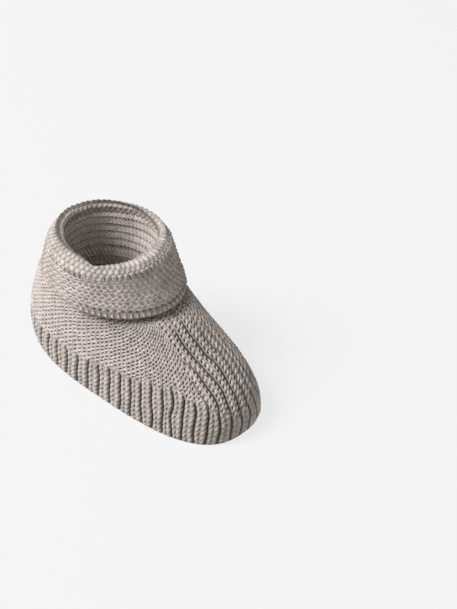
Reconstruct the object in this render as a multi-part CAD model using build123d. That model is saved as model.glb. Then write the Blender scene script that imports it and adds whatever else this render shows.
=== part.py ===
from build123d import *
import math
import os

os.makedirs("parts", exist_ok=True)

# Knitted baby bootie, millimetres. +Z up, the toe points along -Y, X = 0 is the
# mid plane. Origin: middle of the footprint, on the face the sole stands on.

# ---------------------------------------------------------------- dimensions
# Outer cross sections of the foot, from the floor up to the shoulder under
# the cuff: height, heel y, toe y, half width, toe squareness, heel
# squareness (1 is an ellipse, less is boxier), widening towards the toe.
FOOT = [
    (0.0, 46.3, -50.2, 23.5, 0.80, 0.76, 0.04),
    (0.8, 47.3, -50.6, 23.9, 0.80, 0.76, 0.04),
    (2.2, 48.2, -50.8, 24.05, 0.81, 0.77, 0.03),
    (5.0, 49.7, -50.8, 24.1, 0.84, 0.80, 0.02),
    (9.0, 50.6, -49.6, 23.7, 0.87, 0.84, 0.00),
    (14.0, 50.7, -45.6, 23.0, 0.91, 0.89, -0.02),
    (18.0, 50.1, -40.2, 22.4, 0.94, 0.93, -0.04),
    (22.0, 49.1, -33.7, 21.8, 0.98, 0.97, -0.06),
    (26.0, 48.0, -27.0, 21.2, 1.0, 1.0, -0.07),
    (29.0, 47.1, -22.0, 20.8, 1.0, 1.0, -0.08),
    (31.0, 46.0, -18.0, 20.5, 1.0, 1.0, -0.08),
]
SHOULDER_Z = 33.0        # top of the foot, where the collar is knitted on
KNIT = 2.0               # thickness of the knitted wall
LINING = 0.9             # thickness of the jersey lining
SOLE_T = 2.2             # thickness of the ribbed sole
BAND_TOP_Z = 14.0        # top of the ribbed band round the foot

# Collar: ellipses given as (z, half width in x, half length in y, centre y)
HOLE = (17.4, 18.9, 16.8)            # ankle hole through the foot's top: rx, ry, cy
COLLAR_TOP_Z = 45.0
COLLAR_OUT = [(33.0, 19.6, 21.3, 16.8), (39.0, 19.3, 20.9, 17.0), (45.0, 19.0, 20.4, 17.3)]
COLLAR_IN = [(33.0, 17.4, 18.9, 16.8), (39.0, 17.2, 18.7, 17.0), (45.0, 17.0, 18.4, 17.3)]

# Cuff: the collar's upper edge folded over and turned down outside
BAND_OUT = [(36.0, 22.8, 26.5, 15.4), (40.0, 22.2, 24.7, 16.2), (45.3, 21.4, 22.9, 17.2)]
BAND_IN = [(36.0, 20.8, 24.5, 15.4), (40.0, 20.2, 22.7, 16.2), (45.3, 19.4, 20.9, 17.2)]
HEM_OUT = [(33.8, 23.1, 27.1, 15.2), (34.9, 23.4, 27.4, 15.3), (36.0, 23.0, 26.8, 15.4)]
HEM_IN = [(33.8, 21.1, 25.0, 15.2), (34.9, 21.0, 24.8, 15.3), (36.0, 20.8, 24.5, 15.4)]
RIM_OUT = [(45.3, 21.4, 22.9, 17.2), (47.0, 21.2, 22.7, 17.3), (48.6, 20.6, 22.0, 17.4),
           (49.8, 19.6, 20.9, 17.4), (50.4, 18.6, 19.7, 17.4)]
RIM_IN = [(45.3, 17.0, 18.4, 17.3), (47.0, 16.6, 17.6, 17.4), (48.6, 16.7, 17.5, 17.4),
          (49.8, 17.2, 18.0, 17.4), (50.4, 18.0, 18.9, 17.4)]
SEAM_PROUD = 0.6         # how far a seam thread stands out of the knit
SEAM_W = 1.2             # width of a seam thread
CUFF_TRAVEL = 12.0       # how far the turned cuff can be pulled up

CENTRE_Y = -0.29         # moves the finished pieces so that Y = 0 is mid length

N = 48                   # points round each cross section


# ---------------------------------------------------------------- sections
def power(v, p):
    return math.copysign(abs(v) ** p, v)


def foot_row(z):
    z = min(max(z, FOOT[0][0]), FOOT[-1][0])
    for a, b in zip(FOOT[:-1], FOOT[1:]):
        if z <= b[0]:
            t = (z - a[0]) / (b[0] - a[0])
            return [u + (v - u) * t for u, v in zip(a, b)]
    return list(FOOT[-1])


def foot_points(z, inset=0.0, at=None):
    """Points of the foot's cross section taken at height z, laid at height at."""
    _, heel, toe, half, pt, ph, k = foot_row(z)
    pts = []
    for i in range(N):
        a = 2 * math.pi * i / N
        c, s = math.cos(a), math.sin(a)
        p = pt if c > 0 else ph
        y = (heel + toe) / 2 - (heel - toe) / 2 * power(c, p)
        x = half * power(s, p) * (1 + k * c)
        pts.append((x, y))
    return [(x, y, z if at is None else at) for x, y in offset(pts, inset)]


def offset(pts, inset):
    if not inset:
        return pts
    out = []
    n = len(pts)
    for i in range(n):
        (x0, y0), (x1, y1) = pts[i - 1], pts[(i + 1) % n]
        tx, ty = x1 - x0, y1 - y0
        m = math.hypot(tx, ty)
        out.append((pts[i][0] - ty / m * inset, pts[i][1] + tx / m * inset))
    return out


def oval_points(z, rx, ry, cy):
    return [(rx * math.sin(2 * math.pi * i / N), cy - ry * math.cos(2 * math.pi * i / N), z)
            for i in range(N)]


def ring_wire(pts):
    return Wire([Spline(*[Vector(*p) for p in pts], periodic=True).edge()])


def stack(rows):
    """Closed solid through a stack of cross sections."""
    return Solid.make_loft([ring_wire(r) for r in rows], ruled=False)


def ovals(rows):
    return stack([oval_points(*r) for r in rows])


def past(rows, below, above):
    """The same stack of ovals, run straight past both ends, for cutting."""
    first, last = rows[0], rows[-1]
    return (ovals(rows)
            + Solid.extrude(Face(ring_wire(oval_points(*first))), Vector(0, 0, -below))
            + Solid.extrude(Face(ring_wire(oval_points(*last))), Vector(0, 0, above)))


def slab(z0, z1, x=60.0, y0=-80.0, y1=80.0):
    return Pos(0, (y0 + y1) / 2, (z0 + z1) / 2) * Box(2 * x, y1 - y0, z1 - z0)


def write(name, shape):
    solids = shape.solids()
    if not solids:
        raise ValueError(name + " has no solid")
    solids = [Pos(0, CENTRE_Y, 0) * s for s in solids]
    body = solids[0] if len(solids) == 1 else Compound(children=list(solids))
    body.label = name
    export_step(body, "parts/" + name + ".step")
    print(name, len(solids), "solid,", round(sum(s.volume for s in solids)), "mm3")


# ---------------------------------------------------------------- the foot
# Outer form, then the same form drawn in by the knit, then by the lining.
# Every wall is cut from these few solids, so neighbours meet face to face.
shoulder = [oval_points(32.3, 20.3, 24.2, 15.6),
            oval_points(SHOULDER_Z, 19.6, 21.3, 16.8)]
foot_outer = stack([foot_points(r[0]) for r in FOOT] + shoulder)


def foot_core(wall, floor_z, roof_z):
    rows = [foot_points(floor_z, wall)]
    for z in (5.0, 9.0, 14.0, 18.0, 22.0, 26.0):
        rows.append(foot_points(z + 0.5 * wall, wall, z))
    rows.append(foot_points(min(28.3 + 0.5 * wall, 31.0), wall, 28.3))
    rows.append(oval_points(roof_z - 0.9, HOLE[0] + 0.4, HOLE[1] + 2.2, HOLE[2] - 0.8))
    rows.append(oval_points(roof_z, HOLE[0] + 0.05, HOLE[1] + 0.05, HOLE[2]))
    return stack(rows)


core_knit = foot_core(KNIT, SOLE_T, 31.0)
core_lining = foot_core(KNIT + LINING, SOLE_T + LINING, 30.0)
hole_big = Solid.extrude(Face(ring_wire(oval_points(28.6, *HOLE))), Vector(0, 0, 6))
hole_small = Solid.extrude(
    Face(ring_wire(oval_points(28.6, HOLE[0] - LINING, HOLE[1] - LINING, HOLE[2]))),
    Vector(0, 0, 6))

sole = foot_outer & slab(-1, SOLE_T)
wall = foot_outer & slab(SOLE_T, SHOULDER_Z + 1)
wall = wall - core_knit - hole_big
rib_band = wall & slab(SOLE_T, BAND_TOP_Z)
upper = wall & slab(BAND_TOP_Z, SHOULDER_Z + 1)

lining_all = core_knit - core_lining - hole_small
insole = core_knit & slab(SOLE_T, SOLE_T + LINING)
lining_wall = (lining_all & slab(SOLE_T + LINING, 31.0)) & slab(SOLE_T + LINING, 30.6)
lining_seam = (Solid.extrude(Face(ring_wire(oval_points(30.8, *HOLE))), Vector(0, 0, 1.1))
               - Solid.extrude(Face(ring_wire(oval_points(30.8, HOLE[0] - 1.0, HOLE[1] - 1.0, HOLE[2]))),
                               Vector(0, 0, 1.1)))

write("rib_sole", sole)
write("rib_side_band", rib_band)
write("knitted_upper", upper)
write("lining_insole", insole)
write("lining_upper", lining_wall)
write("lining_edge_seam", lining_seam)

# Seams on the outside of the foot: a thread ring where the band is linked to
# the upper, its front part round the toe, and one up the back of the heel.
skin = stack([foot_points(z, -SEAM_PROUD) for z in
              (2.2, 5.0, 9.0, 14.0, 18.0, 22.0, 26.0, 29.0, 31.0)]) - foot_outer
band_ring = skin & slab(BAND_TOP_Z - SEAM_W / 2, BAND_TOP_Z + SEAM_W / 2)
write("toe_seam", band_ring & slab(0, 30, y0=-80, y1=-36))
write("band_seam", band_ring & slab(0, 30, y0=-36, y1=80))
heel_strip = skin & slab(3.0, 30.5, x=SEAM_W / 2, y0=20, y1=80)
heel_strip = heel_strip - slab(BAND_TOP_Z - SEAM_W / 2, BAND_TOP_Z + SEAM_W / 2)
write("heel_seam", heel_strip)

# ---------------------------------------------------------------- the collar
collar = ovals(COLLAR_OUT) - past(COLLAR_IN, 2, 2)
write("ankle_collar", collar)
join = (Solid.extrude(Face(ring_wire(oval_points(33.0, 20.15, 21.9, 16.75))), Vector(0, 0, 0.6))
        - past(COLLAR_OUT, 2, 2))
join = join & slab(33.0, 33.6)
write("collar_join_seam", join)

# ---------------------------------------------------------------- the cuff
write("turned_cuff", ovals(BAND_OUT) - past(BAND_IN, 2, 2))
write("cuff_hem_edge", ovals(HEM_OUT) - past(HEM_IN, 2, 2))
write("folded_rim", ovals(RIM_OUT) - past(RIM_IN, 2, 2))
grown = [(z, rx + 0.5, ry + 0.5, cy) for z, rx, ry, cy in BAND_OUT]
cuff_strip = (ovals(grown) - past(BAND_OUT, 2, 2)) & slab(36.0, 45.3, x=0.8, y0=20, y1=80)
write("cuff_back_seam", cuff_strip)
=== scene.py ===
import math

import bpy
import numpy as np
from mathutils import Matrix, Quaternion, Vector


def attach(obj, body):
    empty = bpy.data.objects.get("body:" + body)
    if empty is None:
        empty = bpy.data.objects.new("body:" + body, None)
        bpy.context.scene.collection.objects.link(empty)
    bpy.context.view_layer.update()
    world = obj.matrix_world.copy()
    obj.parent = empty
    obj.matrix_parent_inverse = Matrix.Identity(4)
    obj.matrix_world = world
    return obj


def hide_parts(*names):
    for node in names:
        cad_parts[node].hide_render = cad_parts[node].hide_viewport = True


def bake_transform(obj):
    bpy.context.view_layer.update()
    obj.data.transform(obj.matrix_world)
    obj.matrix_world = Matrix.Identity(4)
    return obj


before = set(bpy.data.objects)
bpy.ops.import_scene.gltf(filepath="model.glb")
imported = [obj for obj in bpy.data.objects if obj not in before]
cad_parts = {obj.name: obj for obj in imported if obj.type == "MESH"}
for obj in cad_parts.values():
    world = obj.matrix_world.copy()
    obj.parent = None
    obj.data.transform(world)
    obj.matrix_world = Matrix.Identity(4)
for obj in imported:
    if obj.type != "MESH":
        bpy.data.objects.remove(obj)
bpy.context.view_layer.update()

DENS = 1.0                            # mesh density
rng = np.random.default_rng(7)

# ------------------------------------------------------------------ knit size
COL = 2.15        # width of one column of stitches, mm
ROW = 1.92        # height of one row, mm
RIB_ROW = 1.98    # height of one row in the side ribs, mm
SHIFT_Y = -0.29   # the CAD pieces' shift along y


# ------------------------------------------------------------------ helpers
def pchip(xk, yk, x):
    xk, yk, x = np.asarray(xk, float), np.asarray(yk, float), np.asarray(x, float)
    h = np.diff(xk)
    d = np.diff(yk) / h
    m = np.zeros_like(yk)
    m[0], m[-1] = d[0], d[-1]
    for i in range(1, len(xk) - 1):
        if d[i - 1] * d[i] > 0:
            w1, w2 = 2 * h[i] + h[i - 1], h[i] + 2 * h[i - 1]
            m[i] = (w1 + w2) / (w1 / d[i - 1] + w2 / d[i])
    i = np.clip(np.searchsorted(xk, x) - 1, 0, len(xk) - 2)
    t = (x - xk[i]) / h[i]
    t = np.clip(t, 0, 1)
    return ((1 + 2 * t) * (1 - t) ** 2 * yk[i] + t * (1 - t) ** 2 * h[i] * m[i]
            + t * t * (3 - 2 * t) * yk[i + 1] + t * t * (t - 1) * h[i] * m[i + 1])


def smooth(a, b, x):
    t = np.clip((x - a) / (b - a), 0, 1)
    return t * t * (3 - 2 * t)


def unit(v):
    return v / np.maximum(np.linalg.norm(v, axis=-1, keepdims=True), 1e-9)


def wobble(P, amp=1.0, seed=0.0):
    """Slow uneven waves in space, about -1 to 1."""
    x, y, z = P[..., 0], P[..., 1], P[..., 2]
    return amp * (0.45 * np.sin(x / 9.1 + 1.3 + seed) * np.cos(y / 11.7 + 0.4 * seed)
                  + 0.35 * np.sin(z / 6.3 + y / 17.0 + 2.1 * seed + 0.7)
                  + 0.20 * np.sin(x / 4.7 - z / 5.2 + y / 6.1 + seed))


def hash01(i, j, k=0.0):
    v = np.sin(np.floor(i) * 12.9898 + np.floor(j) * 78.233 + k * 37.719) * 43758.5453
    return v - np.floor(v)


def slouch(P):
    """The soft lean of the finished bootie: the toe turns a little towards -x."""
    P = P.copy()
    c = np.clip(-(P[..., 1] - 1.0) / 50.0, 0, 1)
    t = np.clip(P[..., 2] / 28.5, 0, 1)
    P[..., 0] += -2.6 * c * c * (1 - 0.5 * t)
    return P


# ------------------------------------------------------------------ stitch tiles
TN = 96


def capsule_height(X, Y, a, b, r, lift, bow=0.0):
    """Height over the plane of a yarn lying from a to b, raised in the middle."""
    ax, ay = a
    bx, by = b
    dx, dy = bx - ax, by - ay
    L2 = dx * dx + dy * dy
    t = ((X - ax) * dx + (Y - ay) * dy) / L2
    tc = np.clip(t, 0, 1)
    px, py = ax + dx * tc, ay + dy * tc
    if bow:
        L = math.sqrt(L2)
        nx, ny = -dy / L, dx / L
        o = bow * np.sin(np.pi * tc)
        px, py = px + nx * o, py + ny * o
    d2 = (X - px) ** 2 + (Y - py) ** 2
    h = np.sqrt(np.maximum(r * r - d2, 0))
    hh = np.where(d2 < r * r, h + lift * np.sin(np.pi * np.clip(tc, 0.02, 0.98)) ** 0.8, 0)
    return hh


def tile_of(w, h, strands):
    """Height tile, 0 to 1, of yarns given as (from, to, radius, lift, bow) in mm."""
    u, v = np.meshgrid((np.arange(TN) + 0.5) / TN * w, (np.arange(TN) + 0.5) / TN * h)
    H = np.zeros_like(u)
    for p, q, r, lift, bow in strands:
        for kx in (-2, -1, 0, 1, 2):
            for ky in (-2, -1, 0, 1, 2):
                H = np.maximum(H, capsule_height(u, v, (p[0] + kx * w, p[1] + ky * h),
                                                 (q[0] + kx * w, q[1] + ky * h), r, lift, bow))
    return H / H.max()


def stitch_tile(w, h, pit, legs, base=0.45, pits=None):
    """Fat legs of yarn with one slanted pit to a stitch. pit: (x, y, (long half axis), (short half axis))."""
    u, v = np.meshgrid((np.arange(TN) + 0.5) / TN * w, (np.arange(TN) + 0.5) / TN * h)
    H = base + (1 - base) * tile_of(w, h, legs)
    m = np.full_like(u, 9.0)
    for px, py, (ax, ay), (bx, by) in [pit] + list(pits or []):
        det = ax * by - ay * bx
        for kx in (-2, -1, 0, 1, 2):
            for ky in (-2, -1, 0, 1, 2):
                dx, dy = u - px - kx * w, v - py - ky * h
                a, b = (dx * by - dy * bx) / det, (dy * ax - dx * ay) / det
                m = np.minimum(m, a * a + b * b)
    m = np.sqrt(m)
    return H * np.clip((m - 0.50) / 0.80, 0, 1) ** 0.8


# knit side: two legs that spread upwards, with a slanted pit beside the leading one
KNIT = stitch_tile(COL, ROW, (1.12, 1.05, (0.30, 0.80), (0.33, -0.04)),
                   [((1.00, -0.45), (1.85, 1.20), 0.50, 0.42, -0.05),
                    ((1.05, -0.40), (0.20, 0.95), 0.45, 0.24, 0.06)])
# ribs: the same stitch pulled tighter and more slanted
RIBK = stitch_tile(COL, RIB_ROW, (1.75, 0.95, (0.20, 0.46), (0.30, -0.06)),
                   [((0.55, 0.35), (1.35, 1.30), 0.56, 0.34, 0.0)], base=0.46)
# purl side of the cuff: wavy rows
CUFF_W, CUFF_H = 2.25, 2.42
PURL = stitch_tile(CUFF_W, CUFF_H, (1.15, 0.42, (0.42, 0.14), (0.0, 0.26)),
                   [((-0.10, 0.55), (1.30, 1.40), 0.46, 0.35, 0.10),
                    ((1.15, 1.40), (2.35, 0.55), 0.42, 0.15, 0.10),
                    ((0.35, 2.05), (1.75, 2.55), 0.46, 0.22, 0.05)], base=0.30,
                   pits=[(0.10, 1.55, (0.50, 0.42), (-0.06, 0.27)), (1.95, 1.75, (0.35, -0.20), (0.0, 0.22))])
# folded rim: small loops in three rows
RIMK = stitch_tile(1.68, 1.72, (0.85, 0.95, (0.34, 0.62), (0.36, 0.0)),
                   [((0.20, -0.35), (1.30, 1.15), 0.50, 0.40, 0.05)], base=0.35)
LOOP = stitch_tile(1.95, 1.75, (0.30, 0.35, (0.22, 0.20), (0.20, -0.16)),
                   [((0.85, 0.60), (1.20, 1.10), 0.66, 0.25, 0.0)], base=0.35)
# bound-off edge: one fat bead after another
CHAIN = tile_of(2.9, 2.2, [((1.10, 1.05), (1.80, 1.15), 0.74, 0.20, 0.0)])
FINE = tile_of(1.0, 0.8, [((0.5, -0.2), (0.86, 0.5), 0.2, 0.1, 0.0), ((0.5, -0.2), (0.14, 0.5), 0.2, 0.1, 0.0)])


def sample(tile, c, r):
    """Tile height at column coordinate c and row coordinate r, bilinear and periodic."""
    x = (c - np.floor(c)) * TN - 0.5
    y = (r - np.floor(r)) * TN - 0.5
    x0, y0 = np.floor(x).astype(int), np.floor(y).astype(int)
    fx, fy = x - x0, y - y0
    x0, y0, x1, y1 = x0 % TN, y0 % TN, (x0 + 1) % TN, (y0 + 1) % TN
    return ((tile[y0, x0] * (1 - fx) + tile[y0, x1] * fx) * (1 - fy)
            + (tile[y1, x0] * (1 - fx) + tile[y1, x1] * fx) * fy)


# ------------------------------------------------------------------ the foot's form
FOOT = np.array([
    (0.0, 46.3, -50.2, 23.5, 0.80, 0.76, 0.04),
    (0.8, 47.3, -50.6, 23.9, 0.80, 0.76, 0.04),
    (2.2, 48.2, -50.8, 24.05, 0.81, 0.77, 0.03),
    (5.0, 49.7, -50.8, 24.1, 0.84, 0.80, 0.02),
    (9.0, 50.6, -49.6, 23.7, 0.87, 0.84, 0.00),
    (14.0, 50.7, -45.6, 23.0, 0.91, 0.89, -0.02),
    (18.0, 50.1, -40.2, 22.4, 0.94, 0.93, -0.04),
    (22.0, 49.1, -33.7, 21.8, 0.98, 0.97, -0.06),
    (26.0, 48.0, -27.0, 21.2, 1.0, 1.0, -0.07),
    (29.0, 47.1, -22.0, 20.8, 1.0, 1.0, -0.08),
    (31.0, 46.0, -18.0, 20.5, 1.0, 1.0, -0.08),
    (32.3, 39.8, -8.6, 20.3, 1.0, 1.0, 0.0),
    (33.0, 38.1, -4.5, 19.6, 1.0, 1.0, 0.0)])
NS = 1440
ZT = np.concatenate([np.linspace(0, 31, 125)[:-1], np.linspace(31, 33, 17)])


def foot_table():
    cols = [pchip(FOOT[:, 0], FOOT[:, k], ZT) for k in range(1, 7)]
    heel, toe, half, pt, ph, kk = cols
    th = np.linspace(0, 2 * np.pi, 2881)
    c, s = np.cos(th), np.sin(th)
    P = np.zeros((len(ZT), NS, 3))
    L = np.zeros(len(ZT))
    sg = np.arange(NS) / NS
    for i, z in enumerate(ZT):
        p = np.where(c > 0, pt[i], ph[i])
        cc = np.sign(c) * np.abs(c) ** p
        ss = np.sign(s) * np.abs(s) ** p
        y = (heel[i] + toe[i]) / 2 - (heel[i] - toe[i]) / 2 * cc
        x = half[i] * ss * (1 + kk[i] * c)
        d = np.concatenate([[0], np.cumsum(np.hypot(np.diff(x), np.diff(y)))])
        L[i] = d[-1]
        P[i, :, 0] = np.interp(sg * d[-1], d, x)
        P[i, :, 1] = np.interp(sg * d[-1], d, y) + SHIFT_Y
        P[i, :, 2] = z
    return P, L


TP, TL = foot_table()
dS = (np.roll(TP, -2, axis=1) - np.roll(TP, 2, axis=1))
dZ = np.gradient(TP, ZT, axis=0)
TNRM = unit(np.cross(dS, dZ))
# soften the normals a little, so that stitches stand straight on the curves
for _ in range(3):
    TNRM = unit(TNRM + 0.5 * (np.roll(TNRM, 3, 1) + np.roll(TNRM, -3, 1)))
seg = np.linalg.norm(np.diff(TP, axis=0), axis=-1)
TR = np.concatenate([np.zeros((1, NS)), np.cumsum(seg, axis=0)])   # way up the surface
TR = TR * 1.0


def zindex(z):
    return np.interp(z, ZT, np.arange(len(ZT)))


def bil(T, s, z):
    a = (s - np.floor(s)) * NS
    b = np.clip(zindex(z), 0, len(ZT) - 1.0001)
    a0, b0 = np.floor(a).astype(int), np.floor(b).astype(int)
    fa, fb = a - a0, b - b0
    a0, a1, b1 = a0 % NS, (a0 + 1) % NS, b0 + 1
    if T.ndim == 3:
        fa, fb = fa[..., None], fb[..., None]
    return ((T[b0, a0] * (1 - fa) + T[b0, a1] * fa) * (1 - fb)
            + (T[b1, a0] * (1 - fa) + T[b1, a1] * fa) * fb)


# ------------------------------------------------------------------ meshes
def grid_object(name, P, attrs, close_u=True, close_v=False, flip=False):
    """A sheet of quads from P[nv, nu, 3] in mm, with point attributes and its own UV map."""
    nv, nu = P.shape[:2]
    me = bpy.data.meshes.new(name)
    me.vertices.add(nv * nu)
    me.vertices.foreach_set("co", (P.reshape(-1, 3) / 1000.0).astype(np.float32).ravel())
    ju, jv = (nu if close_u else nu - 1), (nv if close_v else nv - 1)
    I, J = np.meshgrid(np.arange(ju), np.arange(jv))
    I, J = I.ravel(), J.ravel()
    I1, J1 = (I + 1) % nu, (J + 1) % nv
    q = np.stack([J * nu + I, J * nu + I1, J1 * nu + I1, J1 * nu + I], 1)
    uv = np.stack([np.stack([I / ju, J / jv], 1), np.stack([(I + 1) / ju, J / jv], 1),
                   np.stack([(I + 1) / ju, (J + 1) / jv], 1), np.stack([I / ju, (J + 1) / jv], 1)], 1)
    if flip:
        q, uv = q[:, ::-1], uv[:, ::-1]
    n = len(q)
    me.loops.add(4 * n)
    me.polygons.add(n)
    me.loops.foreach_set("vertex_index", q.astype(np.int32).ravel())
    me.polygons.foreach_set("loop_start", (np.arange(n) * 4).astype(np.int32))
    me.polygons.foreach_set("loop_total", np.full(n, 4, np.int32))
    me.update(calc_edges=True)
    me.validate()
    layer = me.uv_layers.new(name="OFBake")
    layer.data.foreach_set("uv", (0.002 + 0.996 * uv).astype(np.float32).ravel())
    for key, val in attrs.items():
        at = me.attributes.new(key, "FLOAT", "POINT")
        at.data.foreach_set("value", np.asarray(val, np.float32).ravel())
    me.polygons.foreach_set("use_smooth", np.ones(n, bool))
    ob = bpy.data.objects.new(name, me)
    bpy.context.scene.collection.objects.link(ob)
    return ob


# ------------------------------------------------------------------ materials
def yarn_material(name, lit, shade_rgb, fuzz=0.25, rough=0.92, heather=0.21):
    m = bpy.data.materials.new(name)
    m.use_nodes = True
    nt = m.node_tree
    nt.nodes.clear()
    out = nt.nodes.new("ShaderNodeOutputMaterial")
    bs = nt.nodes.new("ShaderNodeBsdfPrincipled")
    nt.links.new(bs.outputs[0], out.inputs["Surface"])
    bs.inputs["Roughness"].default_value = rough
    bs.inputs["Sheen Weight"].default_value = fuzz
    bs.inputs["Sheen Roughness"].default_value = 0.6
    bs.inputs["Specular IOR Level"].default_value = 0.15

    painted_shading = nt.nodes.new("ShaderNodeAttribute")
    painted_shading.attribute_name = "painted_shading"
    tone = nt.nodes.new("ShaderNodeAttribute")
    tone.attribute_name = "tone"
    tc = nt.nodes.new("ShaderNodeTexCoord")

    # painted shade: the attribute read here is painted shading, which runs each yarn from a dark shade colour in the
    # gaps to its own colour on the stitch tops
    ramp = nt.nodes.new("ShaderNodeValToRGB")
    ramp.color_ramp.elements[0].position = 0.05
    ramp.color_ramp.elements[0].color = (*shade_rgb, 1)
    ramp.color_ramp.elements[1].position = 0.90
    ramp.color_ramp.elements[1].color = (*lit, 1)
    mid = ramp.color_ramp.elements.new(0.50)
    mid.color = (*[a * 0.35 + b * 0.65 for a, b in zip(shade_rgb, lit)], 1)
    nt.links.new(painted_shading.outputs["Fac"], ramp.inputs["Fac"])

    # heathered fibres: fine flecks of lighter and darker cotton
    fleck = nt.nodes.new("ShaderNodeTexNoise")
    fleck.inputs["Scale"].default_value = 2600
    fleck.inputs["Detail"].default_value = 4
    fleck.inputs["Roughness"].default_value = 0.7
    nt.links.new(tc.outputs["Object"], fleck.inputs["Vector"])
    slow = nt.nodes.new("ShaderNodeTexNoise")
    slow.inputs["Scale"].default_value = 95
    slow.inputs["Detail"].default_value = 3
    nt.links.new(tc.outputs["Object"], slow.inputs["Vector"])

    add = nt.nodes.new("ShaderNodeMath")
    add.operation = "ADD"
    nt.links.new(fleck.outputs["Fac"], add.inputs[0])
    nt.links.new(slow.outputs["Fac"], add.inputs[1])
    add2 = nt.nodes.new("ShaderNodeMath")
    add2.operation = "ADD"
    nt.links.new(add.outputs[0], add2.inputs[0])
    nt.links.new(tone.outputs["Fac"], add2.inputs[1])
    rng_node = nt.nodes.new("ShaderNodeMapRange")
    rng_node.inputs["From Min"].default_value = 0.75
    rng_node.inputs["From Max"].default_value = 2.25
    rng_node.inputs["To Min"].default_value = 1.0 - heather
    rng_node.inputs["To Max"].default_value = 1.0 + heather
    nt.links.new(add2.outputs[0], rng_node.inputs["Value"])
    mul = nt.nodes.new("ShaderNodeMix")
    mul.data_type = "RGBA"
    mul.blend_type = "MULTIPLY"
    mul.inputs["Factor"].default_value = 1.0
    comb = nt.nodes.new("ShaderNodeCombineColor")
    for k in ("Red", "Green", "Blue"):
        nt.links.new(rng_node.outputs[0], comb.inputs[k])
    nt.links.new(ramp.outputs["Color"], mul.inputs["A"])
    nt.links.new(comb.outputs[0], mul.inputs["B"])
    nt.links.new(mul.outputs["Result"], bs.inputs["Base Color"])

    # fibre relief
    fib = nt.nodes.new("ShaderNodeTexNoise")
    fib.inputs["Scale"].default_value = 4200
    fib.inputs["Detail"].default_value = 3
    nt.links.new(tc.outputs["Object"], fib.inputs["Vector"])
    bump = nt.nodes.new("ShaderNodeBump")
    bump.inputs["Strength"].default_value = 0.35
    bump.inputs["Distance"].default_value = 0.00015
    nt.links.new(fib.outputs["Fac"], bump.inputs["Height"])
    nt.links.new(bump.outputs[0], bs.inputs["Normal"])
    return m


LIT = (0.535, 0.482, 0.448)
# painted shade: the dark colour painted into the gaps between stitches
PAINTED_SHADE_RGB = (0.13, 0.105, 0.088)
M_BODY = yarn_material("taupe_knit", LIT, PAINTED_SHADE_RGB)
# painted shade: the rib copy of the same yarn is darker only to stand in for the shade on the side band, which faces
# down and out
M_RIB_PAINTED_SHADE = yarn_material("taupe_rib_painted_shade", tuple(c * 0.84 for c in LIT), PAINTED_SHADE_RGB)
M_CUFF = yarn_material("taupe_cuff", tuple(c * 0.98 for c in LIT), PAINTED_SHADE_RGB)
# painted light: the collar's copy of the same yarn is lighter only to stand in for the light on the inside wall of
# the opening
M_COLLAR_PAINTED_LIGHT = yarn_material("taupe_collar_painted_light", tuple(c * 1.16 for c in LIT), PAINTED_SHADE_RGB)
# painted highlight: the hem's copy of the same yarn is lighter only to stand in for the light on its proud beads
M_EDGE_PAINTED_HIGHLIGHT = yarn_material("taupe_edge_painted_highlight", tuple(c * 1.22 for c in LIT), PAINTED_SHADE_RGB)
M_SEAM = yarn_material("taupe_seam", tuple(c * 0.93 for c in LIT), PAINTED_SHADE_RGB)
# the lining's own darker jersey colour, made darker still as painted shade for the dim inside of the bootie
M_LINING_TONE_AND_PAINTED_SHADE = yarn_material("jersey_lining", (0.36, 0.315, 0.285), (0.17, 0.14, 0.12), heather=0.1)


def dress(ob, mat, body, nodes, blend=None):
    ob.data.materials.append(mat)
    if blend:
        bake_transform(ob)
    else:
        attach(ob, body)
    if nodes:
        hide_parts(*nodes)
    return ob


# ------------------------------------------------------------------ rib layout on the foot
# s of every groove on the -x side by height; rows are rib numbers, columns are RZ
NRIB = 24
RZ = np.array([0.0, 4, 8, 12, 16, 20, 24, 28, 31, 33])
RS = {0: [-.0077, -.006, -.0035, -.0025, 0, .0076, .0128, .020, .026, .030],
      1: [-.0265, -.024, -.0205, -.0185, -.0155, -.012, -.010, -.010, -.010, -.010],
      2: [-.0460, -.0430, -.0395, -.0360, -.031, -.028, -.026, -.026, -.026, -.026],
      3: [-.0655, -.0620, -.0575, -.0520, -.047, -.042, -.040, -.040, -.040, -.040],
      4: [-.0827, -.082, -.0785, -.0700, -.063, -.057, -.053, -.050, -.048, -.047],
      5: [-.1015, -.1005, -.0965, -.0880, -.0800, -.073, -.067, -.060, -.057, -.055],
      6: [-.1177, -.1162, -.1143, -.1065, -.0985, -.089, -.081, -.073, -.066, -.064],
      7: [-.1332, -.1312, -.129, -.1232, -.1150, -.1035, -.094, -.085, -.077, -.074],
      8: [-.1522, -.1495, -.1472, -.1425, -.1335, -.1210, -.1090, -.099, -.089, -.087],
      10: [-.1927, -.1885, -.1855, -.181, -.1725, -.1603, -.1467, -.1325, -.1198, -.1175],
      12: [-.236, -.2303, -.2265, -.2223, -.2142, -.203, -.1897, -.1753, -.1623, -.1605],
      14: [-.2807, -.2737, -.2697, -.2662, -.2595, -.2495, -.2383, -.2253, -.2142, -.213],
      16: [-.329, -.3203, -.3163, -.3137, -.3087, -.3017, -.2933, -.283, -.2745, -.274],
      18: [-.372, -.365, -.362, -.359, -.355, -.351, -.345, -.337, -.330, -.329],
      21: [-.437, -.433, -.431, -.429, -.427, -.424, -.420, -.415, -.411, -.410],
      24: [-.5] * 10}
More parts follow.
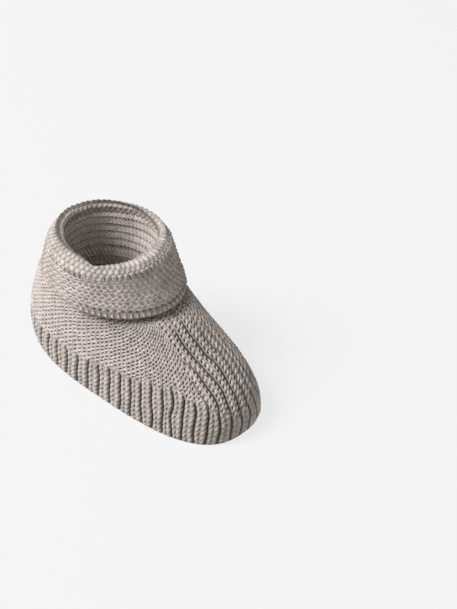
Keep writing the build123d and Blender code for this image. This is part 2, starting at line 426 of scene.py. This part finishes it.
# the ribs over the instep run on their own lines
VZ = np.array([6.0, 10, 13, 16, 19, 21.5, 24, 28, 31, 33])
VS = {0: [-.003, -.0027, -.001, 0.001, .0040, .0035, -.002, -.003, .001, .003],
      1: [-.022, -.0190, -.0177, -.0155, -.0185, -.0215, -.0265, -.0275, -.026, -.025],
      2: [-.040, -.0365, -.0340, -.0352, -.0360, -.0390, -.049, -.053, -.054, -.055],
      3: [-.056, -.0530, -.0500, -.0540, -.0551, -.0590, -.072, -.079, -.083, -.085],
      4: [-.072, -.0690, -.0670, -.0720, -.0750, -.0800, -.095, -.105, -.112, -.115],
      12: [-.230, -.225, -.220, -.225, -.230, -.240, -.255, -.270, -.280, -.285],
      24: [-.5] * 10}


def rib_table(zk, rows, lean):
    T = np.zeros((len(ZT), NS))
    q = np.arange(NS) / NS
    q = q - np.round(q)
    keys = sorted(rows)
    cols = {k: pchip(zk, rows[k], np.clip(ZT, zk[0], zk[-1])) for k in keys}
    for i in range(len(ZT)):
        near = np.array([cols[k][i] for k in keys])
        far = -near + 2 * near[0] * np.exp(-(np.array(keys) / lean) ** 2)
        xs = np.concatenate([near[::-1], far[1:]])
        ns = np.concatenate([np.array(keys, float)[::-1], -np.array(keys, float)[1:]])
        xs = np.maximum.accumulate(xs + np.arange(len(xs)) * 1e-6)
        T[i] = pchip(xs, ns, q)
    return T


RIB = rib_table(RZ, RS, 4.0)
VAMP = rib_table(VZ, VS, 5.0)


def rib_number(s, z, T=None):
    """Rib coordinate: grooves at whole numbers, 0 at the toe, 24 at the heel; + on the -x side."""
    T = RIB if T is None else T
    a = (s - np.floor(s)) * NS
    b = np.clip(zindex(z), 0, len(ZT) - 1.0001)
    a0, b0 = np.floor(a).astype(int), np.floor(b).astype(int)
    fa, fb = a - a0, b - b0
    a0, a1, b1 = a0 % NS, (a0 + 1) % NS, b0 + 1
    v00, v01, v10, v11 = T[b0, a0], T[b0, a1], T[b1, a0], T[b1, a1]
    # across the heel the coordinate jumps from +24 to -24: take the near side only
    v01 = np.where(np.abs(v00 - v01) > 10, v00, v01)
    v11 = np.where(np.abs(v10 - v11) > 10, v10, v11)
    return (v00 * (1 - fa) + v01 * fa) * (1 - fb) + (v10 * (1 - fa) + v11 * fa) * fb


def rib_top(n):
    """Height where the side ribs give way to the plain knit."""
    return pchip([0, 1, 2, 3, 4, 5, 6, 7, 9, 13, 17, 20, 22, 24],
                 [9.0, 10.2, 11.8, 12.8, 13.8, 15.0, 16.2, 16.6, 16.2, 14.4, 12.2, 11.4, 11.0, 10.8], np.abs(n))


def knit_relief(n, R, in_rib, seed, plain=2.4, tight=True):
    """Stitches in columns, two to a rib: height, painted gap shade and tone."""
    n = n + 0.035 * np.sin(R / 1.9 + 2.4 * np.floor(n + 0.5)) * in_rib + 0.03 * np.sin(R / 4.1 + 1.7 * np.floor(n + 0.5))
    f = n - np.floor(n)
    arch = np.clip(1 - np.abs(2 * f - 1) ** (7.5 if tight else 4.0), 0, 1) ** 0.6
    sq = 0.04 * in_rib
    fc = np.clip((f - sq) / (1 - 2 * sq), 0, 0.9999)
    c = np.where(in_rib > 0.5, -2 * (np.floor(n) + fc), -plain * n)
    col = np.floor(c)
    uneven = 0.07 * np.sin(R / 4.7 + 6.3 * hash01(col, seed)) + 0.05 * (hash01(col, seed + 2) - 0.5)
    row = R / ROW + uneven
    rrow = R / RIB_ROW + uneven + 0.5 * np.mod(col, 2) + 0.15 * hash01(col, seed + 1)
    side = 0.11 * np.sin(2.1 * row + 6.3 * hash01(col, seed + 3))
    jx, jy = hash01(col, np.floor(row), seed + 7) - 0.5, hash01(col, np.floor(row), seed + 8) - 0.5
    kn = sample(KNIT, c + side * (1 - in_rib), row)
    k2 = sample(KNIT, c + 0.22 * jx, row + 0.22 * jy)
    kn = np.where(hash01(col, np.floor(row), seed + 9) > 0.35, np.minimum(kn, 0.25 + 0.75 * k2), kn)
    kr = sample(RIBK, c, rrow) if tight else sample(KNIT, c, row)
    kn = kn * (1 - in_rib) + kr * in_rib
    j = hash01(col, np.floor(row), seed)
    amp = 1.05 * (1 - in_rib) + (0.62 if tight else 0.9) * in_rib
    h = amp * (kn - 1) + 0.16 * (j - 0.5) + in_rib * (1.9 * arch - 1.9)
    # painted shade: darker in the stitch pits and the rib grooves, with a random tone per stitch mixed in
    painted_shading = np.clip(kn * (0.84 + 0.30 * j), 0, 1) * (1 - in_rib * (1 - arch ** (6.0 if tight else 3.5)))
    return h, painted_shading, hash01(col, np.floor(row), 2.0 + seed)


def foot_height(s, z):
    """Stitch relief over the foot, and the painted shade of each point by how far down in a gap it lies."""
    R = bil(TR, s, z)
    n = rib_number(s, z)
    top = rib_top(n) + 2.2 * (hash01(np.floor(n), 3.0) - 0.5)
    sd = np.abs(s - np.round(s))
    # the plain rows sink a little towards the toe
    side = knit_relief(n, R - 21.6 * sd, 1 - smooth(-0.7, 0.5, z - top), 1.0)
    m = rib_number(s, z, VAMP)
    # grooves fade out towards the ankle, each at its own height
    k = np.abs(np.floor(m + 0.5))
    fade = np.where(m > 0, pchip([0, 1, 2, 3, 4], [33, 31, 24.5, 21.5, 14.0], np.clip(k, 0, 4)),
                    pchip([0, 1, 2, 3, 4], [33, 30, 28, 26, 24], np.clip(k, 0, 4)))
    strong = (1 - smooth(-4.0, 1.0, z - fade)) * np.where(m < -0.5, 0.92, 1.0)
    vamp = knit_relief(m, R, strong, 5.0, 2.0, False)
    edge = np.where(m > 0, pchip([8, 21, 24, 33], [3.0, 3.0, 2.0, 2.0], z), pchip([8, 21, 24, 33], [4.0, 4.0, 3.5, 3.5], z))
    pick = (np.abs(m) < edge) & (z > np.minimum(rib_top(np.minimum(np.abs(n), 4)), 13.0) - 0.3)
    return tuple(np.where(pick, b, a) for a, b in zip(side, vamp))


PROUD = 0.35      # the stitches' tops stand this far over the CAD form


def foot_sheet(name, s, z, lift=0.0):
    P = bil(TP, s, z)
    N = unit(bil(TNRM, s, z))
    h, painted_shading, tone = foot_height(s, z)
    base = PROUD + 0.30 * wobble(P, 1.0, 0.6)
    # no deeper or lower than the floor
    P = P + N * (h + base + lift)[..., None]
    P[..., 2] = np.maximum(P[..., 2], 0.05)
    P = slouch(P)
    return P, dict(painted_shading=painted_shading, tone=tone)


# side band, from under the edge of the sole to a little over the ribs' tops
BAND_Z = 15.0
nu, nv = int(1040 * DENS), int(72 * DENS)
s1 = (np.arange(nu) / nu)[None, :].repeat(nv, 0)
zz = np.linspace(0.0, 1.0, nv)[:, None].repeat(nu, 1)
n_edge = rib_number(s1, np.full_like(s1, 14.0))
zsplit = rib_top(n_edge)
P, A = foot_sheet("band", s1, zz * zsplit)
band = dress(grid_object("rib_side_band_knit", P, A), M_RIB_PAINTED_SHADE, "foot", ["rib_side_band"])

# upper, from the band's top to the ankle, in two pieces that meet on the sides
nv = int(176 * DENS)
for name, lo, hi, cnt in (("knitted_upper_front", -0.27, 0.27, 560), ("knitted_upper_back", 0.27, 0.73, 420)):
    nu = int(cnt * DENS)
    s1 = np.linspace(lo, hi, nu)[None, :].repeat(nv, 0)
    n_edge = rib_number(s1, np.full_like(s1, 14.0))
    zsplit = rib_top(n_edge)
    # rows spread by the way up the surface
    t = np.linspace(0, 1, nv)[:, None].repeat(nu, 1)
    z = np.empty_like(t)
    zs_ = ZT
    for i in range(nu):
        col_r = bil(TR, np.full(len(zs_), s1[0, i]), zs_)
        r0 = np.interp(zsplit[0, i], zs_, col_r)
        z[:, i] = np.interp(r0 + (col_r[-1] - r0) * t[:, i], col_r, zs_)
    P, A = foot_sheet(name, s1, z)
    ob = dress(grid_object(name, P, A, close_u=False), M_BODY, "foot",
               ["knitted_upper"] if "front" in name else None)

# sole: ribs run across under the foot
nu, nv = int(700 * DENS), int(110 * DENS)
th = (np.arange(nu) / nu)
edge = bil(TP, th, np.full(nu, 0.5))
mid_y = np.clip(edge[:, 1], -34, 30)
mid = np.stack([np.zeros(nu), mid_y, np.zeros(nu)], 1)
t = np.linspace(0, 1, nv)[:, None]
P = edge[None, :, :] * (1 - t[..., None]) + mid[None] * t[..., None]
yy, xx = P[..., 1], P[..., 0]
f = yy / 4.6 - np.floor(yy / 4.6)
arch = np.clip(1 - np.abs(2 * f - 1) ** 3.2, 0, 1) ** 0.55
kn = sample(KNIT, 2 * f, xx / ROW + 0.5)
h = 1.0 * arch - 1.0 + 0.42 * (kn - 1)
rim_fade = smooth(0.0, 0.06, t) 
P[..., 2] = 0.10 - h * rim_fade
P[..., 2] = np.clip(P[..., 2], 0.05, 2.0)
P = slouch(P)
# painted shade: darker in the grooves between the sole's ribs and in the stitch pits
sole = dress(grid_object("rib_sole_knit", P, dict(painted_shading=arch * (0.3 + 0.7 * kn), tone=hash01(np.floor(yy / 2.3), np.floor(xx / ROW))), flip=True),
             M_RIB_PAINTED_SHADE, "foot", ["rib_sole"])


# ------------------------------------------------------------------ rings: collar, cuff, hem
def ring_sheet(profile, nu, nv, relief, close_v=False, flip=False, shape=None):
    """profile: rows (rx, ry, cy, z) along the section; relief(theta, d, L) gives height, painted shade and tone."""
    prof = np.asarray(profile, float)
    k = np.arange(len(prof))
    if close_v:
        prof = np.vstack([prof, prof[:1]])
        k = np.arange(len(prof))
    fine = np.linspace(0, k[-1], 1200)
    dense = np.stack([catmull(prof[:, c], fine, close_v) for c in range(4)], 1)
    d = np.concatenate([[0], np.cumsum(np.hypot(np.diff(dense[:, 0]), np.diff(dense[:, 3])))])
    m = nv if not close_v else nv
    tt = np.arange(m) / m * d[-1] if close_v else np.linspace(0, d[-1], m)
    row = np.stack([np.interp(tt, d, dense[:, c]) for c in range(4)], 1)
    th = np.arange(nu) / nu * 2 * np.pi
    TH, D = np.meshgrid(th, tt)
    P = np.stack([row[:, 0:1] * np.sin(TH), row[:, 2:3] - row[:, 1:2] * np.cos(TH) + SHIFT_Y,
                  np.repeat(row[:, 3:4], nu, 1)], -1)
    if shape is not None:
        P = shape(P, TH, D / d[-1])
    du = np.roll(P, -1, 1) - np.roll(P, 1, 1)
    if close_v:
        dv = np.roll(P, -1, 0) - np.roll(P, 1, 0)
    else:
        dv = np.gradient(P, axis=0)
    N = unit(np.cross(du, dv))
    if flip:
        N = -N
    h, painted_shading, tone = relief(TH, D, d[-1], P)
    return P + N * h[..., None], dict(painted_shading=painted_shading, tone=tone)


def catmull(y, x, closed):
    i = np.clip(np.floor(x).astype(int), 0, len(y) - 2)
    t = x - i
    if closed:
        m = len(y) - 1
        y0, y1, y2, y3 = y[(i - 1) % m], y[i], y[i + 1], y[(i + 2) % m]
    else:
        y0, y1, y2, y3 = y[np.maximum(i - 1, 0)], y[i], y[i + 1], y[np.minimum(i + 2, len(y) - 1)]
    return 0.5 * (2 * y1 + (y2 - y0) * t + (2 * y0 - 5 * y1 + 4 * y2 - y3) * t ** 2
                  + (3 * y1 - y0 - 3 * y2 + y3) * t ** 3)


def relief_collar(TH, D, L, P):
    """Inside of the collar: rounds of ribs, one above the other."""
    arc = TH / (2 * np.pi) * 76
    c = D / 3.05
    f = c - np.floor(c)
    arch = np.clip(1 - np.abs(2 * f - 1) ** 9.0, 0, 1) ** 0.7
    v = sample(RIMK, arc + 0.3 * hash01(np.floor(c), 5.0), 2 * f)
    h = 0.75 * arch - 0.75 + 0.50 * (v - 1)
    # painted shade: darker in the grooves between the rounds and in the stitch pits
    return h, arch ** 1.6 * (0.30 + 0.80 * v), hash01(np.floor(arc), np.floor(2 * c))


def fold_line(TH):
    """Where the inner layer's edge shows, as way along the rim's section; strength fades in front."""
    a = (np.degrees(TH) + 180) % 360 - 180
    d = pchip([-180, -150, -110, -72, 0, 50, 80, 110, 140, 160, 180], [6.7, 6.3, 6.1, 5.9, 5.0, 3.2, 4.0, 5.2, 5.9, 6.3, 6.7], a)
    on = np.where(a < 0, smooth(-70, -80, a), smooth(42, 52, a))
    return d, on


def relief_rim(TH, D, L, P):
    arc = TH / (2 * np.pi) * 62
    w = 0.05 * np.sin(7 * TH) + 0.03 * np.sin(17 * TH)
    row = (L - D) / 1.55 + w
    c = arc + 0.5 * np.mod(np.floor(row), 2) + 0.2 * hash01(np.floor(row), 7.0)
    cell = np.mod(np.floor(c), 62)
    j = hash01(cell, np.floor(row))
    v = sample(LOOP, c + 0.12 * (j - 0.5), row)
    d0, on = fold_line(TH)
    g = on * np.exp(-((D - d0) / 0.42) ** 2)
    lip = on * np.exp(-((D - d0 + 0.85) / 0.4) ** 2)
    low = smooth(L - 1.2, L - 0.75, D)
    ridge = smooth(4.5, 3.0, D) * np.clip(np.abs(np.sin(np.pi * (D + 0.3) / 3.2)), 0, 1) ** 0.4
    h = 0.50 * (v - 1) * (1 - 0.35 * lip) - 1.0 * g + 0.15 * lip - 0.45 * low + 0.16 * (j - 0.5)
    # painted light and shade: darker in the loop pits, in the fold groove, in the grooves between the inner ridges
    # and along the rim's lower edge, lighter on the fold's lip; j adds a random tone per loop
    shade = (0.12 + 0.88 * v) * (0.88 + 0.2 * j) * (1 - 0.35 * lip) + 0.36 * lip
    rid = np.where(D < 4.5, 1 - 0.75 * smooth(4.5, 3.0, D) * (1 - ridge), 1)
    return h, np.clip(shade * rid * (1 - 0.95 * g) * (1 - 0.9 * low), 0, 1), j


def relief_band(TH, D, L, P):
    n = round(2 * np.pi * 22.4 / CUFF_W)
    arc = TH / (2 * np.pi) * n
    w = 0.10 * np.sin(5 * TH) + 0.06 * np.sin(11 * TH + D) + 0.04 * np.sin(29 * TH)
    row = D / CUFF_H + w
    v = sample(PURL, arc + 0.12 * row + 0.12 * np.sin(D / 4.0) + 0.05 * np.sin(9 * TH + D), -row)
    j = hash01(np.floor(arc), np.floor(row))
    top = smooth(1.7, 0.9, D)
    # painted shade: darker in the purl gaps, and a painted shadow along the top under the rim
    return 0.90 * (v - 1) + 0.16 * (j - 0.5) + 0.35 * wobble(P, 1, 2.0) - 0.15 * top, np.clip((0.10 + 1.05 * v ** 0.8) * (1 - 0.8 * top), 0, 1), j


def relief_hem(TH, D, L, P):
    n = round(2 * np.pi * 24.6 / 2.15)
    arc = TH / (2 * np.pi) * n
    c = D / L * 3.0
    v = sample(CHAIN, c, arc)
    j = hash01(np.floor(c), np.floor(arc))
    a = (np.degrees(TH) + 180) % 360 - 180
    flush = smooth(-72, -100, a) * smooth(-178, -150, a)
    v = v * (1 - 0.6 * flush) + 0.55 * flush
    # painted shade: darker between the beads
    return (1.0 * (v - 1) + 0.35 + 0.25 * (j - 0.5)) * (1 - 0.6 * flush) - 0.3 * flush, 0.14 + 0.86 * np.clip(1.3 * v, 0, 1) ** 0.8, j


def sag(a):
    """How much deeper the inner wall's lower edge sits, by angle in radians from the toe side."""
    return 4.0 * (0.5 - 0.5 * np.cos(a + 0.8))


MOUTH_A = [-180, -159, -138, -109, -84, -72, -63, -54, -44, -31, 7, 30, 47, 60, 82, 101, 122, 156, 180]
MOUTH_R = [18.2, 17.0, 15.8, 15.4, 15.7, 16.6, 18.0, 17.0, 15.9, 15.2, 14.7, 16.2, 18.0, 19.1, 19.4, 19.0, 18.2, 18.5, 18.2]


def draw_in(P, TH, D):
    """The mouth is not round: a corner in front, a straight front edge, thin at the back."""
    z = P[..., 2]
    cx, cy = P[..., 0], P[..., 1] - (17.3 + SHIFT_Y)
    r = np.hypot(cx, cy)
    a = np.degrees(np.arctan2(cx, -cy))
    inner = smooth(21.0, 17.6, r) * smooth(33.0, 46.0, z)
    dr = pchip(MOUTH_A, MOUTH_R, a) - 17.4
    front = np.exp(-((a + 15) / 42.0) ** 2)
    back = np.exp(-((a - 110) / 40.0) ** 2)
    k = inner * dr - 0.5 * (1 - inner) * back * smooth(40, 48, z) - 0.9 * front * (1 - inner) * smooth(43, 48, z)
    Q = P.copy()
    Q[..., 0] += cx / np.maximum(r, 1) * k
    Q[..., 1] += cy / np.maximum(r, 1) * k
    Q[..., 2] -= sag(np.radians(a)) * smooth(33.0, 26.9, z) * smooth(21.0, 18.8, r)
    Q[..., 2] += -0.5 * front * smooth(44.0, 49.0, z) + 0.25 * np.sin(np.radians(3 * a) + 1.0) * smooth(44, 49, z)
    return Q


RISE_A = [-180, -100, -60, -20, 10, 40, 75, 110, 150, 180]
RISE_Z = [0.0, 0.0, 0.4, 1.4, 1.8, 1.9, 1.4, 0.6, 0.0, 0.0]


def around(P):
    """Angle in degrees from the toe side, and the way out from the ankle's middle."""
    cx, cy = P[..., 0], P[..., 1] - (16.8 + SHIFT_Y)
    r = np.maximum(np.hypot(cx, cy), 1)
    return np.degrees(np.arctan2(cx, -cy)), np.stack([cx / r, cy / r, 0 * r], -1), r


def rim_shape(P, TH, D):
    a, out, r = around(P)
    Q = draw_in(P, TH, D)
    Q[..., 2] += pchip(RISE_A, RISE_Z, a) * smooth(49.4, 46.2, P[..., 2]) * smooth(19.2, 20.8, r)
    return Q


def cuff_lie(P, TH, D):
    """The cuff hangs further forward over the toe, and closer at the far side."""
    a, out, r = around(P)
    z = P[..., 2]
    low = smooth(44.0, 36.0, z)
    k = low * (0.9 * np.exp(-((a - 2) / 24.0) ** 2) - 1.5 * np.exp(-((a - 62) / 26.0) ** 2))
    rise = pchip(RISE_A, RISE_Z, a) * smooth(41.0, 45.4, z)
    k = k - 0.36 * rise
    Q = P + out * k[..., None]
    Q[..., 2] += rise
    return Q


def hem_lie(P, TH, D):
    a, out, r = around(P)
    flush = smooth(-72, -100, a) * smooth(-178, -150, a)
    Q = cuff_lie(P, TH, D) - out * (1.0 * flush)[..., None]
    Q[..., 2] += 0.7 * flush
    return Q


# collar: inner face up from the lining, over its top under the rim, outer face down
nu = int(640 * DENS)
collar_prof = [(17.5, 19.2, 16.8, 26.9), (17.0, 18.5, 16.8, 29.6), (17.3, 18.8, 16.8, 32.0), (17.15, 18.6, 17.0, 38.0), (16.95, 18.1, 17.2, 43.0), (16.9, 17.9, 17.3, 45.6),
               (17.9, 19.2, 17.3, 46.2), (18.9, 20.3, 17.3, 45.4), (19.1, 20.6, 17.2, 42.0), (19.3, 21.0, 17.0, 38.0), (19.6, 21.3, 16.8, 33.4)]
P, A = ring_sheet(collar_prof, nu, int(150 * DENS), relief_collar, flip=False, shape=draw_in)
collar = dress(grid_object("ankle_collar_knit", P, A), M_COLLAR_PAINTED_LIGHT, "foot", ["ankle_collar"],
               blend=("foot", "cuff", (0, 0, 0.0335), (0, 0, 0.0445)))

rim_prof = [(17.3, 18.5, 17.3, 44.9), (17.2, 18.1, 17.4, 46.9), (17.15, 17.95, 17.4, 48.7), (17.65, 18.5, 17.4, 49.8), (18.7, 19.7, 17.4, 50.2),
            (19.8, 21.0, 17.4, 49.7), (20.7, 22.0, 17.35, 48.5), (21.25, 22.6, 17.3, 47.1), (21.5, 22.9, 17.25, 45.7), (20.3, 21.7, 17.2, 45.2)]
P, A = ring_sheet(rim_prof, nu, int(80 * DENS), relief_rim, shape=rim_shape)
rim = dress(grid_object("folded_rim_knit", P, A), M_CUFF, "cuff", ["folded_rim"])

band_prof = [(20.2, 21.6, 17.2, 45.9), (21.2, 22.6, 17.2, 46.0), (21.6, 23.1, 17.1, 44.6), (22.0, 24.3, 16.6, 41.6), (22.5, 25.6, 15.9, 38.6), (22.9, 26.6, 15.4, 35.8),
             (22.3, 25.9, 15.4, 34.9), (20.9, 24.6, 15.4, 36.0), (20.2, 22.7, 16.2, 40.0), (19.4, 20.9, 17.2, 45.3)]
P, A = ring_sheet(band_prof, int(720 * DENS), int(130 * DENS), relief_band, shape=cuff_lie)
cuffb = dress(grid_object("turned_cuff_knit", P, A), M_CUFF, "cuff", ["turned_cuff"])

hem_prof = [(22.8, 26.6, 15.4, 35.7), (23.3, 27.2, 15.3, 35.0), (23.2, 27.1, 15.2, 34.3), (22.7, 26.5, 15.2, 33.9), (21.9, 25.7, 15.3, 34.1), (21.6, 25.4, 15.4, 35.0), (22.0, 25.8, 15.4, 35.7)]
P, A = ring_sheet(hem_prof, int(900 * DENS), int(44 * DENS), relief_hem, close_v=True, shape=hem_lie)
hem = dress(grid_object("cuff_hem_chain", P, A, close_v=True), M_EDGE_PAINTED_HIGHLIGHT, "cuff", ["cuff_hem_edge"])


# ------------------------------------------------------------------ lining
def lining_sheet(s, z, inset):
    P = bil(TP, s, z)
    N = unit(bil(TNRM, s, z))
    L = np.interp(z, ZT, TL)
    c, r = s * L / 1.1, bil(TR, s, z) / 0.85
    v = sample(FINE, c, r)
    # painted shade: darker in the jersey's fine stitch gaps
    return P - N * (inset - 0.10 * (v - 1))[..., None], dict(painted_shading=0.4 + 0.6 * v, tone=hash01(np.floor(c), np.floor(r)))


nu, nv = int(420 * DENS), int(120 * DENS)
s1 = (np.arange(nu) / nu)[None, :].repeat(nv, 0)
t = np.linspace(0, 1, nv)[:, None].repeat(nu, 1)
P, A = lining_sheet(s1, 3.2 + (31.0 - 3.2) * t, 2.9)
# the top edge draws in to the ankle hole
hole = np.stack([17.5 * np.sin(2 * np.pi * s1), 16.8 - 19.2 * np.cos(2 * np.pi * s1) + SHIFT_Y, 27.4 - sag(2 * np.pi * s1)], -1)
w = smooth(0.80, 1.0, t)[..., None]
P = P * (1 - w) + hole * w
P[..., 2] = np.minimum(P[..., 2], 29.9)
P = slouch(P)
lin = dress(grid_object("lining_upper_jersey", P, A, flip=True), M_LINING_TONE_AND_PAINTED_SHADE, "foot", ["lining_upper"])

edge = P[0]
cen = np.stack([np.zeros(nu), np.clip(edge[:, 1], -30, 28), np.full(nu, 3.1)], 1)
t = np.linspace(0, 1, int(90 * DENS))[:, None]
Q = edge[None] * (1 - t[..., None]) + cen[None] * t[..., None]
v = sample(FINE, Q[..., 0] / 1.1, Q[..., 1] / 0.85)
Q[..., 2] = 3.15 + 0.10 * (v - 1)
# painted shade: darker in the jersey's fine stitch gaps
ins = dress(grid_object("lining_insole_jersey", Q, dict(painted_shading=0.4 + 0.6 * v, tone=hash01(np.floor(Q[..., 0]), np.floor(Q[..., 1]))), flip=False),
            M_LINING_TONE_AND_PAINTED_SHADE, "foot", ["lining_insole"])


# ------------------------------------------------------------------ seams
def rope(name, path, normal, radius, pitch, mat, body, nodes, closed=False, flat=0.7, blend=None):
    """A linked chain seam laid along a path: loops that overlap like a crochet chain."""
    path, normal = np.asarray(path, float), unit(np.asarray(normal, float))
    seg = np.linalg.norm(np.diff(path, axis=0), axis=1)
    d = np.concatenate([[0], np.cumsum(seg)])
    n = max(int(d[-1] / 0.22 * DENS), 12)
    tt = np.linspace(0, d[-1], n)
    C = np.stack([np.interp(tt, d, path[:, k]) for k in range(3)], 1)
    Nn = unit(np.stack([np.interp(tt, d, normal[:, k]) for k in range(3)], 1))
    T = unit(np.gradient(C, axis=0))
    B = unit(np.cross(T, Nn))
    m = int(26 * DENS) + 6
    ang = np.arange(m) / m * 2 * np.pi
    AA, DD = np.meshgrid(ang, tt)
    cc = AA / (2 * np.pi) * 3.0
    v = sample(CHAIN, cc, DD / pitch)
    r = radius * (0.72 + 0.28 * v)
    if not closed:
        taper = np.clip(np.minimum(DD, d[-1] - DD) / (radius * 1.2), 0.05, 1) ** 0.5
        r = r * taper
    P = C[:, None, :] + (Nn[:, None, :] * (np.cos(AA) * flat)[..., None] + B[:, None, :] * np.sin(AA)[..., None]) * r[..., None]
    P[..., 2] = np.maximum(P[..., 2], 0.05)
    # painted shade: darker between the chain's loops
    ob = grid_object(name, slouch(P) if body == "foot" else P, dict(painted_shading=v, tone=hash01(np.floor(cc), np.floor(DD / pitch))), close_u=True)
    return dress(ob, mat, body, nodes, blend)


def on_foot(s, z, lift):
    P, N = bil(TP, s, z), unit(bil(TNRM, s, z))
    return P + N * lift, N


# where the ribs meet the upper: a thin linking thread, mostly sunk in the knit
sp = np.linspace(0.045, 0.955, 700)
nn = rib_number(sp, np.full_like(sp, 14.0))
zsp = rib_top(nn)
C, N = on_foot(sp, zsp, -0.75)
rope("band_seam_thread", C, N, 0.55, 2.0, M_SEAM, "foot", ["band_seam"])
sp = np.linspace(-0.045, 0.045, 160)
C, N = on_foot(sp, rib_top(rib_number(sp, np.full_like(sp, 14.0))), -0.75)
rope("toe_seam_thread", C, N, 0.6, 2.0, M_SEAM, "foot", ["toe_seam"])
zp = np.linspace(1.4, 31.0, 160)
C, N = on_foot(np.full_like(zp, 0.5), zp, 0.1)
rope("heel_seam_thread", C, N, 0.75, 1.7, M_SEAM, "foot", ["heel_seam"])
a = np.linspace(0, 2 * np.pi, 400)
C = np.stack([20.0 * np.sin(a), 16.75 - 21.8 * np.cos(a) + SHIFT_Y, np.full_like(a, 33.1)], 1)
N = np.stack([np.sin(a), -np.cos(a), 0.4 + 0 * a], 1)
rope("collar_join_thread", C, N, 0.45, 2.0, M_SEAM, "foot", ["collar_join_seam"], closed=True)
C = np.stack([17.2 * np.sin(a), 16.8 - 18.9 * np.cos(a) + SHIFT_Y, 27.3 - sag(a)], 1)
rope("lining_edge_thread", C, -N, 0.42, 1.8, M_SEAM, "foot", ["lining_edge_seam"], closed=True)
zc = np.linspace(35.6, 49.6, 90)
yc = np.interp(zc, [35.6, 38.6, 41.6, 44.6, 47.2, 48.8, 49.6], [15.4 + 26.7, 15.9 + 25.7, 16.6 + 24.4, 17.1 + 23.2, 17.3 + 22.8, 17.35 + 22.2, 17.4 + 21.4])
C = np.stack([0 * zc, yc + SHIFT_Y - 0.1, zc], 1)
rope("cuff_back_seam_thread", C, np.stack([0 * zc, 1 + 0 * zc, 0.1 + 0 * zc], 1), 0.7, 1.7, M_SEAM, "cuff", ["cuff_back_seam"])



def coil(name, centre, axis, ring, radius, nodes):
    """A small curl where a seam's yarn is finished off."""
    a = np.linspace(0, 2 * np.pi * 1.35, 90)
    ax = unit(np.asarray(axis, float))
    e1 = unit(np.cross(ax, (0.31, 0.1, 0.95)))
    e2 = np.cross(ax, e1)
    rr = ring * (1 - 0.28 * a / a[-1])
    C = np.asarray(centre, float) + rr[:, None] * (np.cos(a)[:, None] * e1 + np.sin(a)[:, None] * e2) + ax * (0.25 * a / a[-1])[:, None]
    return rope(name, C, np.repeat(ax[None], len(a), 0), radius, 1.5, M_SEAM, "cuff", nodes, flat=0.9)


coil("cuff_seam_curl", (-0.9, 17.4 + 20.9 + SHIFT_Y, 49.2), (-0.25, 0.45, 0.85), 1.15, 0.55, None)
coil("hem_seam_curl", (3.4, 15.4 - 26.2 + SHIFT_Y, 36.3), (0.1, -0.9, 0.35), 1.0, 0.5, None)

# ------------------------------------------------------------------ floor, light, camera
me = bpy.data.meshes.new("floor")
S = 3.0
me.from_pydata([(-S, -S, 0), (S, -S, 0), (S, S, 0), (-S, S, 0)], [], [(0, 1, 2, 3)])
floor = bpy.data.objects.new("floor", me)
bpy.context.scene.collection.objects.link(floor)
fm = bpy.data.materials.new("pale_floor")
fm.use_nodes = True
fb = fm.node_tree.nodes["Principled BSDF"]
fb.inputs["Base Color"].default_value = (0.12, 0.12, 0.12, 1)
fb.inputs["Emission Color"].default_value = (1, 1, 1, 1)
fb.inputs["Emission Strength"].default_value = 0.76
fb.inputs["Roughness"].default_value = 1.0
fb.inputs["Specular IOR Level"].default_value = 0.0
me.materials.append(fm)

world = bpy.data.worlds.new("studio")
bpy.context.scene.world = world
world.use_nodes = True
bg = world.node_tree.nodes["Background"]
bg.inputs[0].default_value = (1.0, 1.0, 1.0, 1)
bg.inputs[1].default_value = 0.37


def area(name, loc, target, size, power, color=(1, 1, 1)):
    d = bpy.data.lights.new(name, "AREA")
    d.shape = "RECTANGLE"
    d.size, d.size_y = size
    d.energy = power
    d.color = color
    o = bpy.data.objects.new(name, d)
    bpy.context.scene.collection.objects.link(o)
    o.location = loc
    o.rotation_mode = "QUATERNION"
    o.rotation_quaternion = (Vector(target) - Vector(loc)).to_track_quat("-Z", "Y")
    return o


AZ, EL, DIST = math.radians(-46.08), math.radians(40.03), 0.950
back = Vector((math.sin(AZ) * math.cos(EL), -math.cos(AZ) * math.cos(EL), math.sin(EL)))
right = Vector((math.cos(AZ), math.sin(AZ), 0))
upv = back.cross(right)
tgt = Vector((0, -0.00219, 0))

# key light from the camera's left, high and large; the world fills the rest
key_dir = (-right * 0.80 + Vector((0, 0, 1)) * 0.84 + back * 0.06).normalized()
area("key", tgt + key_dir * 1.6, tgt, (0.8, 0.8), 33)

cam = bpy.data.cameras.new("camera")
cam.sensor_fit = "AUTO"
cam.sensor_width = 36
cam.lens = 2630.0 * 36 / 609
cam.clip_start, cam.clip_end = 0.05, 20
co = bpy.data.objects.new("camera", cam)
bpy.context.scene.collection.objects.link(co)
M0 = Matrix((right, upv, back)).transposed()
v = Vector(((148.57 - 228.5) / 2630.0, -(367.85 - 304.5) / 2630.0, -1)).normalized()
Q = v.rotation_difference(Vector((0, 0, -1)))
co.rotation_mode = "QUATERNION"
co.rotation_quaternion = (M0 @ Q.to_matrix()).to_quaternion()
co.location = tgt + back * DIST
bpy.context.scene.camera = co
bpy.context.scene.view_settings.view_transform = "Standard"
bpy.context.scene.view_settings.look = "None"
